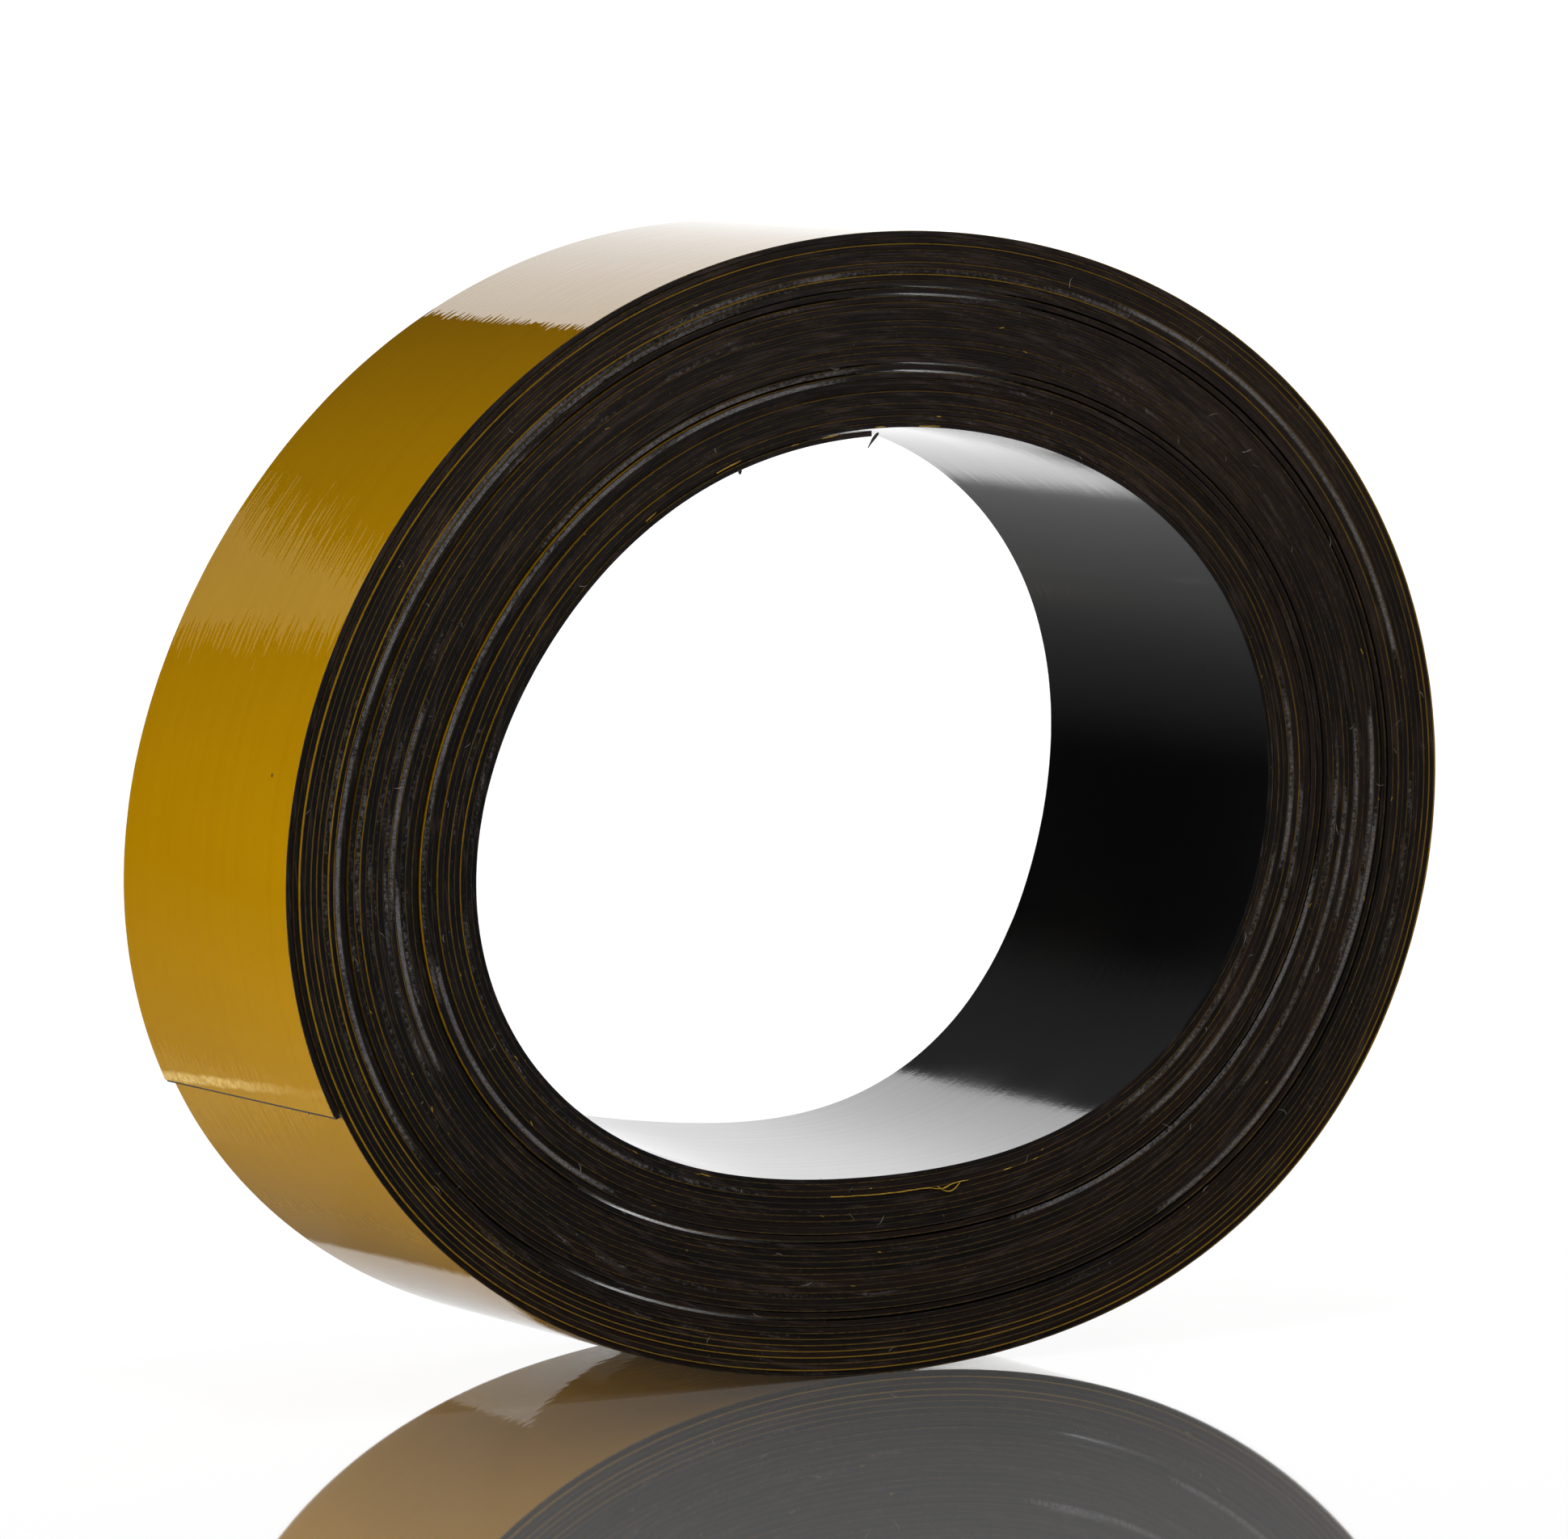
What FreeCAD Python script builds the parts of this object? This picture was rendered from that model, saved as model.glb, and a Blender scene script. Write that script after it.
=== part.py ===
import FreeCAD, Part
import Sketcher
import os
from math import cos, sin, radians, degrees, pi, sqrt, atan2

# A coreless roll of laminated strip, slightly oval, standing on its rim.
# The strip is a dark flexible carrier with a thin glossy film bonded to its outer side.  It is wound as one
# continuous spiral.  The spiral is built in three bands of turns that can slip sideways past each other, and its
# two ends are cut into short hinged sections.  Row frame: millimetres, +Z up, the roll's axis along Y, the open front face at -Y,
# the origin on the ground below the middle of the roll's bounding box.
#
# A point of the winding is given by phi, the angle unwound from the outer end, and by a share of the strip's
# pitch: 0 is the carrier's inner face, then the bond line, the film and the air between two turns.

V = FreeCAD.Vector
doc = FreeCAD.newDocument("tape_roll")

# ---------------------------------------------------------------------------------------------- driving sizes
SIZES = [
    # the strip
    ("strip_width", 40.0, "width of the strip, so the depth of the roll"),
    ("carrier_share", 0.70, "carrier thickness as a share of the pitch"),
    ("bond_share", 0.06, "adhesive bond line as a share of the pitch, left as space"),
    ("film_share", 0.18, "film thickness as a share of the pitch"),
    ("air_share", 0.06, "air between two turns as a share of the pitch"),
    # the winding
    ("outer_mean_radius", 50.0, "mean radius of the outer surface"),
    ("bore_mean_radius", 33.617, "mean radius of the bore"),
    ("whole_turns", 31, "whole turns from the outer end inwards"),
    ("middle_band_start", 9.5, "turns from the outer end to the first slipping surface"),
    ("inner_band_start", 21.5, "turns from the outer end to the second slipping surface"),
    ("band_slack", 0.09, "extra clearance between two bands"),
    ("band_end_gap", 0.16, "gap in the strip where one band ends and the next begins"),
    ("outer_end_angle", 203.6, "where the outer end lies, degrees from +X towards +Z"),
    ("inner_end_angle", 88.0, "where the inner end lies, degrees from +X towards +Z"),
    # how oval it is: cosine and sine parts of the radius at 2, 3 and 4 waves a turn
    ("outer_cos_two", 2.061), ("outer_sin_two", 1.358),
    ("outer_cos_three", -0.157), ("outer_sin_three", -0.524),
    ("outer_cos_four", -0.277), ("outer_sin_four", 0.292),
    ("bore_cos_two", 2.349), ("bore_sin_two", 1.255),
    ("bore_cos_three", -0.109), ("bore_sin_three", -0.583),
    ("bore_cos_four", -0.217), ("bore_sin_four", 0.375),
    ("bore_shift_x", 0.386, "bore centre, across"), ("bore_shift_z", 0.058, "bore centre, up"),
    # the free ends
    ("lead_sections", 5, "hinged sections of the free outer end"),
    ("lead_section_angle", 13.0, "degrees of the roll that each of them covers"),
    ("lead_loose", 0.10, "clearance under the free outer end, before its lift"),
    ("lead_lift", 0.25, "how far the outer end stands off the turn below"),
    ("tail_sections", 2, "hinged sections of the free inner end"),
    ("tail_section_angle", 15.0, "degrees of the roll that each of them covers"),
    ("tail_loose", 0.10, "clearance over the free inner end, before its lift"),
    ("tail_lift", 0.15, "how far the inner end stands off the turn around it"),
    ("loosening_angle", 60.0, "degrees of the roll over which either end comes loose"),
    ("section_gap", 0.04, "gap between two sections, where they bend"),
    ("root_gap", 0.05, "further gap between the winding and the first section"),
    ("arc_angle", 6.0, "degrees of one arc of the wound strip"),
    # where the winding's own centre stands in the row frame
    ("axis_across", 0.0), ("axis_height", 47.0),
]
size = {row[0]: float(row[1]) for row in SIZES}

BUILD = size["outer_mean_radius"] - size["bore_mean_radius"]
TURNS = size["whole_turns"] + (size["outer_end_angle"] - size["inner_end_angle"]) / 360.0
FILM_TOP = 1.0 - size["air_share"]
CUTS = [2 * pi * size["middle_band_start"], 2 * pi * size["inner_band_start"]]
PITCH = (BUILD - 2 * len(CUTS) * size["band_slack"]) / (TURNS - size["air_share"])
END = 2 * pi * TURNS
SHARES = {"carrier": (0.0, size["carrier_share"]),
          "film": (size["carrier_share"] + size["bond_share"], FILM_TOP)}
LEAD = radians(size["lead_sections"] * size["lead_section_angle"])
TAIL = radians(size["tail_sections"] * size["tail_section_angle"])


def ramp(t):
    """0 below 0, 1 above 1, smooth between."""
    t = min(1.0, max(0.0, t))
    return t * t * (3 - 2 * t)


def winding_point(phi, share):
    """A point of the winding about its own centre, as (x, z)."""
    rho = size["outer_mean_radius"] + PITCH / 2 - PITCH * phi / (2 * pi) + (share - FILM_TOP) * PITCH
    for cut in CUTS:                                  # the two turns either side of a slipping surface
        rho -= 2 * size["band_slack"] * min(1.0, max(0.0, (phi - cut + 2 * pi) / (4 * pi)))
    loose = radians(size["loosening_angle"])
    rho += size["lead_loose"] * ramp((LEAD + loose - phi) / loose)
    rho -= size["tail_loose"] * ramp((phi - END + TAIL + loose) / loose)
    if phi < LEAD:                                    # the outer end stands off a little
        rho += size["lead_lift"] * (1 - phi / LEAD) ** 2
    if phi > END - TAIL:                              # so does the inner end, towards the bore
        rho -= size["tail_lift"] * (1 - (END - phi) / TAIL) ** 2
    u = (rho - size["bore_mean_radius"]) / BUILD
    a = radians(size["outer_end_angle"]) - phi
    r = rho
    for n, word in ((2, "two"), (3, "three"), (4, "four")):
        c = (1 - u) * size["bore_cos_" + word] + u * size["outer_cos_" + word]
        s = (1 - u) * size["bore_sin_" + word] + u * size["outer_sin_" + word]
        r += c * cos(n * a) + s * sin(n * a)
    return ((1 - u) * size["bore_shift_x"] + r * cos(a), (1 - u) * size["bore_shift_z"] + r * sin(a))


# the roll stands on the lowest point of its outer surface, midway across its box
ring = [winding_point(2 * pi * i / 7200, FILM_TOP) for i in range(7201)]
size["axis_height"] = round(-min(q[1] for q in ring), 4)
size["axis_across"] = round(-0.5 * (min(q[0] for q in ring) + max(q[0] for q in ring)), 4)


def in_row(q):
    return (q[0] + size["axis_across"], q[1] + size["axis_height"])


def circle_through(a, b, c):
    """Centre and radius of the circle through three points."""
    d = 2 * (a[0] * (b[1] - c[1]) + b[0] * (c[1] - a[1]) + c[0] * (a[1] - b[1]))
    sa, sb, sc = (q[0] ** 2 + q[1] ** 2 for q in (a, b, c))
    x = (sa * (b[1] - c[1]) + sb * (c[1] - a[1]) + sc * (a[1] - b[1])) / d
    z = (sa * (c[0] - b[0]) + sb * (a[0] - c[0]) + sc * (b[0] - a[0])) / d
    return (x, z), sqrt((x - a[0]) ** 2 + (z - a[1]) ** 2)


# Each hinged section is an arc of the strip.  Its hinge line is the surface that closes up as it bends:
# the film's face for the outer end, the carrier's inner face for the inner end.
sections = []
for k in range(int(size["lead_sections"])):
    step = radians(size["lead_section_angle"])
    p0, p1, p2 = (in_row(winding_point(LEAD - step * (k + f), FILM_TOP)) for f in (0, 0.5, 1))
    centre, radius = circle_through(p0, p1, p2)
    sections.append({"name": "lead_%d" % (k + 1), "hinge": p0, "centre": centre, "radius": radius,
                     "turn": abs(atan2(p2[1] - centre[1], p2[0] - centre[0]) - atan2(p0[1] - centre[1], p0[0] - centre[0])),
                     "outer": True, "tip": p2})
for k in range(int(size["tail_sections"])):
    step = radians(size["tail_section_angle"])
    p0, p1, p2 = (in_row(winding_point(END - TAIL + step * (k + f), 0.0)) for f in (0, 0.5, 1))
    centre, radius = circle_through(p0, p1, p2)
    sections.append({"name": "tail_%d" % (k + 1), "hinge": p0, "centre": centre, "radius": radius,
                     "turn": abs(atan2(p2[1] - centre[1], p2[0] - centre[0]) - atan2(p0[1] - centre[1], p0[0] - centre[0])),
                     "outer": False, "tip": p2})
for s in sections:
    if s["turn"] > pi:
        s["turn"] = 2 * pi - s["turn"]
    size[s["name"] + "_bend_radius"] = round(s["radius"], 4)
    size[s["name"] + "_bend_angle"] = round(degrees(s["turn"]), 4)

sheet = doc.addObject("Spreadsheet::Sheet", "dims")
notes = {row[0]: row[2] for row in SIZES if len(row) > 2}
for row, (alias, value) in enumerate(size.items(), start=1):
    sheet.set("A%d" % row, alias.replace("_", " "))
    sheet.set("B%d" % row, repr(float(value)))
    sheet.setAlias("B%d" % row, alias)
    if alias in notes:
        sheet.set("C%d" % row, notes[alias])
row = len(size) + 1
for alias, text in (("strip_pitch", repr(round(PITCH, 6))),
                    ("carrier_thick", repr(round(PITCH * size["carrier_share"], 6))),
                    ("film_thick", repr(round(PITCH * size["film_share"], 6))),
                    ("film_level", repr(round(PITCH * (size["carrier_share"] + size["bond_share"]), 6))),
                    ("strip_thick", repr(round(PITCH * FILM_TOP, 6)))):
    sheet.set("A%d" % row, alias.replace("_", " "))
    sheet.set("B%d" % row, text)
    sheet.setAlias("B%d" % row, alias)
    row += 1
doc.recompute()


# ------------------------------------------------------------------------------------------------ the winding
def spiral(first, last, share):
    """The edges of one face of the strip from one angle to another: short arcs through points of the winding,
    at the same angles on every face, so that neighbouring faces run side by side."""
    count = max(1, int(round((last - first) / radians(size["arc_angle"]))))
    step = (last - first) / count
    edges = []
    ends = [winding_point(first + step * i, share) for i in range(count + 1)]
    for i in range(count):
        m = winding_point(first + step * (i + 0.5), share)
        edges.append(Part.Arc(V(ends[i][0], 0, ends[i][1]), V(m[0], 0, m[1]), V(ends[i + 1][0], 0, ends[i + 1][1])).toShape())
    return edges


def strip_face(first, last, low, high):
    """The cut side of the wound strip between two angles and two shares of the pitch."""
    out, back = spiral(first, last, high), spiral(first, last, low)
    corner = {(phi, share): V(q[0], 0, q[1]) for phi in (first, last) for share in (low, high)
              for q in [winding_point(phi, share)]}
    wire = Part.Wire(out + [Part.makeLine(corner[last, high], corner[last, low])] + list(reversed(back))
                     + [Part.makeLine(corner[first, low], corner[first, high])])
    return Part.Face(wire)


def turned_by(length, phi):
    """The angle that a length of strip covers."""
    q = winding_point(phi, 0.5)
    w = winding_point(phi + 0.001, 0.5)
    return length / sqrt((w[0] - q[0]) ** 2 + (w[1] - q[1]) ** 2) * 0.001


half = size["band_end_gap"] / 2
edges_of_bands = [("outer_turns", LEAD + turned_by(size["root_gap"], LEAD), CUTS[0] - turned_by(half, CUTS[0])),
                  ("middle_turns", CUTS[0] + turned_by(half, CUTS[0]), CUTS[1] - turned_by(half, CUTS[1])),
                  ("inner_turns", CUTS[1] + turned_by(half, CUTS[1]), END - TAIL - turned_by(size["root_gap"], END - TAIL))]
made = []
for band, first, last in edges_of_bands:
    for layer in ("carrier", "film"):
        name = band + "_" + layer
        profile = doc.addObject("Part::Feature", name + "_side")
        profile.Label = name + " cut side"
        profile.Shape = strip_face(first, last, *SHARES[layer])
        wound = doc.addObject("Part::Extrusion", name)
        wound.Label = name
        wound.Base = profile
        wound.DirMode = "Custom"
        wound.Dir = V(0, 1, 0)
        wound.Solid = True
        wound.Symmetric = True
        wound.setExpression("LengthFwd", "dims.strip_width")
        wound.setExpression("Placement.Base.x", "dims.axis_across")
        wound.setExpression("Placement.Base.z", "dims.axis_height")
        made.append(wound)


# ------------------------------------------------------------------------------------- the hinged free sections
def own_plane(body, role):
    return [f for f in body.Origin.OriginFeatures if f.Role == role][0]


def strip_section(s, layer):
    """One layer of one section, drawn in its own frame: the hinge at the origin, the strip running along +X
    and bending towards +Z, padded both ways from the middle of the strip."""
    name = s["name"] + "_" + layer
    body = doc.addObject("PartDesign::Body", name)
    body.Label = name
    sketch = body.newObject("Sketcher::SketchObject", name + "_edge")
    sketch.AttachmentSupport = [(own_plane(body, "XZ_Plane"), "")]
    sketch.MapMode = "FlatFace"
    R = s["radius"]
    # distances of the layer's two faces from the hinge surface, and their cells
    if s["outer"]:
        near = (PITCH * (FILM_TOP - SHARES[layer][1]), "0" if layer == "film" else "(dims.strip_thick - dims.carrier_thick)")
        far = (PITCH * (FILM_TOP - SHARES[layer][0]), "dims.film_thick" if layer == "film" else "dims.strip_thick")
        ra, rb = R - near[0], R - far[0]
        sign = "-"
    else:
        near = (PITCH * SHARES[layer][0], "dims.film_level" if layer == "film" else "0")
        far = (PITCH * SHARES[layer][1], "dims.strip_thick" if layer == "film" else "dims.carrier_thick")
        ra, rb = R + near[0], R + far[0]
        sign = "+"
    bend = "dims.%s_bend_radius" % s["name"]
    gap = size["section_gap"]
    b0, b1 = gap / R, s["turn"]

    def arc(r):
        # angles from the centre, counter-clockwise from straight down
        return Part.ArcOfCircle(Part.Circle(V(0, R, 0), V(0, 0, 1), r), -pi / 2 + b0, -pi / 2 + b1)

    def at(r, b):
        return V(r * sin(b), R - r * cos(b), 0)
    one = sketch.addGeometry(arc(ra), False)
    two = sketch.addGeometry(arc(rb), False)
    root = sketch.addGeometry(Part.LineSegment(at(ra, b0), at(rb, b0)), False)
    end = sketch.addGeometry(Part.LineSegment(at(ra, b1), at(rb, b1)), False)
    C = Sketcher.Constraint
    sketch.addConstraint([
        C("Coincident", one, 1, root, 1), C("Coincident", two, 1, root, 2),
        C("Coincident", one, 2, end, 1), C("Coincident", two, 2, end, 2),
        C("Coincident", one, 3, two, 3),
        C("PointOnObject", one, 3, -2),
        C("PointOnObject", one, 3, root),
        C("PointOnObject", one, 3, end),
    ])
    rise = sketch.addConstraint(C("DistanceY", -1, 1, one, 3, R))
    first = sketch.addConstraint(C("Radius", one, ra))
    second = sketch.addConstraint(C("Radius", two, rb))
    turn = sketch.addConstraint(C("Angle", end, pi / 2 + b1 if s["outer"] else b1 - pi / 2))
    start = sketch.addConstraint(C("DistanceX", -1, 1, one, 1, ra * sin(b0)))
    sketch.setExpression("Constraints[%d]" % rise, bend)
    sketch.setExpression("Constraints[%d]" % first, "%s %s %s" % (bend, sign, near[1]))
    sketch.setExpression("Constraints[%d]" % second, "%s %s %s" % (bend, sign, far[1]))
    sketch.setExpression("Constraints[%d]" % turn, ("90 + dims.%s_bend_angle" if s["outer"] else "dims.%s_bend_angle - 90") % s["name"])
    sketch.setExpression("Constraints[%d]" % start, "dims.section_gap")
    pad = body.newObject("PartDesign::Pad", name + "_width")
    pad.Profile = sketch
    pad.Midplane = True
    pad.setExpression("Length", "dims.strip_width")
    body.Tip = pad
    # the strip leaves the hinge square to the line from the bend's centre
    hx, hz = s["hinge"]
    nx, nz = (s["centre"][0] - hx) / R, (s["centre"][1] - hz) / R      # towards the centre of the bend: local +Z
    turned = FreeCAD.Rotation(V(0, 1, 0), degrees(atan2(nx, nz)))
    if not s["outer"]:                                                 # the inner end runs the other way round
        turned = turned.multiply(FreeCAD.Rotation(V(0, 0, 1), 180))
    body.Placement = FreeCAD.Placement(V(hx, 0, hz), turned)
    made.append(body)
    return body


for s in sections:
    for layer in ("carrier", "film"):
        strip_section(s, layer)

doc.recompute()

# ---------------------------------------------------------------------------------------- proof, then the files
for o in doc.Objects:
    state = " ".join(o.State)
    if "Invalid" in state or "Error" in state:
        raise RuntimeError("%s did not build: %s" % (o.Name, state))
for o in made:
    shape = o.Shape
    if shape.isNull() or not shape.isValid() or len(shape.Solids) != 1 or shape.Volume <= 0:
        raise RuntimeError("%s has no valid solid" % o.Label)

os.makedirs("parts", exist_ok=True)
for o in made:
    o.Shape.exportStep("parts/%s.step" % o.Label)
    b = o.Shape.BoundBox
    print("%-20s volume %9.2f  x %8.3f %8.3f  y %7.3f %7.3f  z %8.3f %8.3f  faces %d"
          % (o.Label, o.Shape.Volume, b.XMin, b.XMax, b.YMin, b.YMax, b.ZMin, b.ZMax, len(o.Shape.Faces)))
print("pitch %.5f  turns %.4f  carrier %.4f  film %.4f  centre (%.4f, %.4f)"
      % (PITCH, TURNS, PITCH * size["carrier_share"], PITCH * size["film_share"], size["axis_across"], size["axis_height"]))
length = 0.0
q = winding_point(0, 0.5)
for i in range(1, 36001):
    w = winding_point(END * i / 36000, 0.5)
    length += sqrt((w[0] - q[0]) ** 2 + (w[1] - q[1]) ** 2)
    q = w
print("strip length %.1f mm" % length)
for s in sections:
    print("hinge %s %.5f %.5f  bend radius %.3f  turn %.3f deg  tip %.4f %.4f"
          % (s["name"], s["hinge"][0], s["hinge"][1], s["radius"], degrees(s["turn"]), s["tip"][0], s["tip"][1]))
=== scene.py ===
import math
import bpy
import numpy as np
from mathutils import Matrix, Vector


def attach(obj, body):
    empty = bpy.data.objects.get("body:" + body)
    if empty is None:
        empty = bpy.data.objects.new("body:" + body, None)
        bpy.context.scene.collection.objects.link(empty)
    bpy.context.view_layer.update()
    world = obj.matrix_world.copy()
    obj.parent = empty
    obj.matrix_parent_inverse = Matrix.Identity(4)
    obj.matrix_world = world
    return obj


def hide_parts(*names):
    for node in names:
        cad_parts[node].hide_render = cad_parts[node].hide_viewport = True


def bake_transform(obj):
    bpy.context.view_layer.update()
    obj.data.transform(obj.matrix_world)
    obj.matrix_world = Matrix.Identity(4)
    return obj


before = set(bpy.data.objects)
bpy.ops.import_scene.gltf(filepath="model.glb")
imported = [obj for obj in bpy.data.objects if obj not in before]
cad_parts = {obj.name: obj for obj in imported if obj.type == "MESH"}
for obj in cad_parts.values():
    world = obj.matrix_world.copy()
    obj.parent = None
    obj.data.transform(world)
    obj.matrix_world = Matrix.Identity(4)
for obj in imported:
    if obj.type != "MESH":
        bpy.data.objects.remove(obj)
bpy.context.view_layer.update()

scene = bpy.context.scene
TAU = 2 * math.pi
MM = 0.001

# ------------------------------------------------------------------ the winding, as the CAD has it (millimetres)
OUT_R, BORE_R = 50.0, 33.617
BUILD = OUT_R - BORE_R
TURNS = 31 + (203.6 - 88.0) / 360.0
CUTS = [TAU * 9.5, TAU * 21.5]
SLACK = 0.09
PITCH = (BUILD - 2 * len(CUTS) * SLACK) / (TURNS - 0.06)
END = TAU * TURNS
LEAD, LEAD_N = math.radians(65), 5
TAIL, TAIL_N = math.radians(30), 2
TOP = 0.94
HALF = 20.0
OUT_W = ((2, 2.061, 1.358), (3, -0.157, -0.524), (4, -0.277, 0.292))
BORE_W = ((2, 2.349, 1.255), (3, -0.109, -0.583), (4, -0.217, 0.375))
# how the far rim differs from the near one: constant, then cosine and sine at one, two and three waves a turn
OUT_FAR = (-0.261, 0.037, -0.574, -0.136, -0.071, -0.122, -0.538)
BORE_FAR = (-1.110, -0.582, 0.087, 0.060, 0.141, -1.171, 0.370)


def ramp(t):
    t = np.clip(t, 0, 1)
    return t * t * (3 - 2 * t)


def plain_winding(phi, share, y=-HALF):
    rho = OUT_R + PITCH / 2 - PITCH * phi / TAU + (share - TOP) * PITCH
    for cut in CUTS:
        rho = rho - 2 * SLACK * np.clip((phi - cut + TAU) / (2 * TAU), 0, 1)
        # a little more room where two bands slide past each other, given up by the turns beside them
        t = (phi - cut) / TAU
        rho = rho - 0.05 * np.clip(t / 0.5, -1, 1) * np.clip((6 - np.abs(t)) / 5, 0, 1)
    loose = math.radians(60)
    rho = rho + 0.08 * ramp((LEAD + loose - phi) / loose)
    rho = rho - 0.08 * ramp((phi - END + TAIL + loose) / loose)
    rho = rho + 0.07 * np.clip(1 - phi / LEAD, 0, None) ** 2
    rho = rho - 0.03 * np.clip(1 - (END - phi) / TAIL, 0, None) ** 2
    u = (rho - BORE_R) / BUILD
    a = math.radians(203.6) - phi
    r = rho
    for (n, oc, osn), (_, bc, bs) in zip(OUT_W, BORE_W):
        r = r + ((1 - u) * bc + u * oc) * np.cos(n * a) + ((1 - u) * bs + u * osn) * np.sin(n * a)
    far = np.clip((y + HALF) / (2 * HALF), -0.05, 1.05)

    def wave(w):
        s = w[0] + 0 * a
        for k in (1, 2, 3):
            s = s + w[2 * k - 1] * np.cos(k * a) + w[2 * k] * np.sin(k * a)
        return s
    r = r + far * (u * wave(OUT_FAR) + (1 - u) * wave(BORE_FAR))
    return (1 - u) * 0.386 + r * np.cos(a), (1 - u) * 0.058 + r * np.sin(a)


_ring = plain_winding(np.linspace(0, TAU, 7201), TOP)
UP = -float(_ring[1].min())
ACROSS = -0.5 * float(_ring[0].min() + _ring[0].max())

# arc length of the strip from its outer end
_grid = np.linspace(-0.2, END + 0.2, 40001)
_gx, _gz = plain_winding(_grid, 0.5)
_len = np.concatenate([[0], np.cumsum(np.hypot(np.diff(_gx), np.diff(_gz)))])
_len -= np.interp(0.0, _grid, _len)


def run(phi):
    return np.interp(phi, _grid, _len)


_tables = {}


def noise(x, cell, seed):
    """Smooth one-dimensional noise from -1 to 1, repeatable."""
    if seed not in _tables:
        _tables[seed] = np.random.RandomState(seed).uniform(-1, 1, 8192)
    t = np.asarray(x, float) / cell
    i = np.floor(t).astype(int)
    f = t - i
    f = f * f * (3 - 2 * f)
    tab = _tables[seed]
    return tab[i % 8192] * (1 - f) + tab[(i + 1) % 8192] * f


# sideways slip of the turns: (turn, width in turns, how far it stands out of the near side, mm)
RIDGES = [(7.9, 0.6, 0.16), (12.2, 0.45, 0.09), (17.4, 0.5, 0.12), (22.3, 0.55, 0.22), (25.4, 0.4, 0.08), (29.3, 0.5, 0.12),
          (1.0, 0.5, -0.06), (9.6, 0.6, -0.10), (24.2, 0.6, -0.14), (30.9, 0.5, -0.08)]

# where the cut side is painted pale grey, partly rubbing and partly a painted highlight of glancing light on the rough
# cut edge: (from, to in degrees round the roll, turns in from the outside, how much)
RUBBED_AND_GLINTING = [(10, 62, 5.6, 1.0), (50, 117, 6.9, .55), (92, 165, 7.6, .7), (95, 215, 8.5, .8), (215, 262, 7.8, .35), (320, 362, 5.3, .45),
          (303, 357, 11.2, 1.0), (338, 366, 12.1, .8), (152, 190, 12.1, .5), (103, 127, 14.1, .5), (170, 187, 14.2, .4),
          (342, 366, 15.2, .6), (163, 187, 17.2, .8), (185, 204, 18.1, 1.0), (318, 362, 17.4, .7), (48, 72, 18.9, .35),
          (22, 36, 19.6, .3), (283, 352, 21.0, .9), (338, 364, 19.6, .6), (88, 142, 21.8, .75), (88, 178, 22.8, .9),
          (160, 198, 22.3, .5), (193, 230, 23.4, .9), (308, 360, 25.6, .9), (348, 372, 26.7, .8), (304, 352, 28.9, .7),
          (183, 254, 30.0, .5), (166, 182, 30.9, .4), (236, 300, 26.2, .25), (60, 110, 11.1, .3), (120, 160, 10.2, .25),
          (205, 300, 13.3, .3), (160, 205, 6.4, .4), (158, 200, 11.0, .4), (150, 178, 15.6, .45), (172, 212, 16.2, .5), (165, 200, 20.0, .5), (150, 200, 27.8, .3), (176, 215, 13.1, .4), (268, 300, 8.6, .3), (60, 90, 13.0, .3), (10, 60, 15.8, .3), (230, 290, 17.0, .2), (20, 80, 24.0, .3), (100, 150, 27.9, .25)]
_rub_glints = []
for _a, _b, _t, _s in RUBBED_AND_GLINTING:
    _f = ((203.6 - 0.5 * (_a + _b)) % 360) / 360
    _rub_glints.append((round(_t - 0.57 - _f) + _f, (_b - _a) / 720, _s))


# pale grey on the cut side: rubbing, and a painted highlight of glancing light on the rough cut edge
def rub_and_glint(phi):
    t = phi / TAU
    s = run(phi)
    d = 0.10 + 0.08 * noise(s, 26.0, 91)
    for at, half, much in _rub_glints:
        d = np.maximum(d, much * ramp((half + 0.012 - np.abs(t - at)) / (0.25 * half + 0.012)) * (0.85 + 0.25 * noise(s, 5.0, 92)))
    return np.clip(d, 0, 1)



def slip(phi):
    t = phi / TAU
    s = run(phi)
    d = 0.05 * noise(s, 140.0, 3) + 0.03 * noise(s, 31.0, 4)
    for at, wide, tall in RIDGES:
        d = d + tall * np.exp(-((t - at) / wide) ** 2)
    return d


def nibble(phi, seed):
    s = run(phi)
    return 0.018 * noise(s, 1.1, seed) + 0.014 * noise(s, 4.3, seed + 1) + 0.016 * np.clip(noise(s, 0.9, seed + 2), 0.72, 1) / 0.3


# turns whose film stands out of the near side: (turn, half width in turns, mm)
PROUD = [(0.57, 0.17, 0.09), (1.57, 0.17, 0.06), (2.57, 0.17, 0.03), (27.45, 0.10, 0.06), (2.08, 0.38, 0.125), (7.17, 0.34, 0.125), (5.38, 0.20, 0.03), (3.88, 0.20, 0.09), (4.88, 0.18, 0.07), (1.85, 0.22, 0.10), (5.9, 0.12, 0.03), (3.02, 0.30, 0.02), (6.1, 0.25, 0.02),
         (11.2, 0.2, 0.01), (18.3, 0.18, 0.02), (25.35, 0.30, 0.035), (27.05, 0.16, 0.05), (29.05, 0.38, 0.03),
         (22.1, 0.15, 0.015), (30.3, 0.2, 0.02)]


def film_proud(phi):
    """How far the film's near edge stands out past the carrier's."""
    t = phi / TAU
    s = run(phi)
    d = -0.19 + 0.03 * noise(s, 9.0, 31) + 0.12 * noise(s, 60.0, 32)
    for at, wide, tall in PROUD:
        d = np.maximum(d, tall * np.exp(-((t - at) / wide) ** 4) + 0.012 * noise(s, 2.3, 34))
    return np.where(t < 1, np.maximum(d, -0.01), d)


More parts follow.
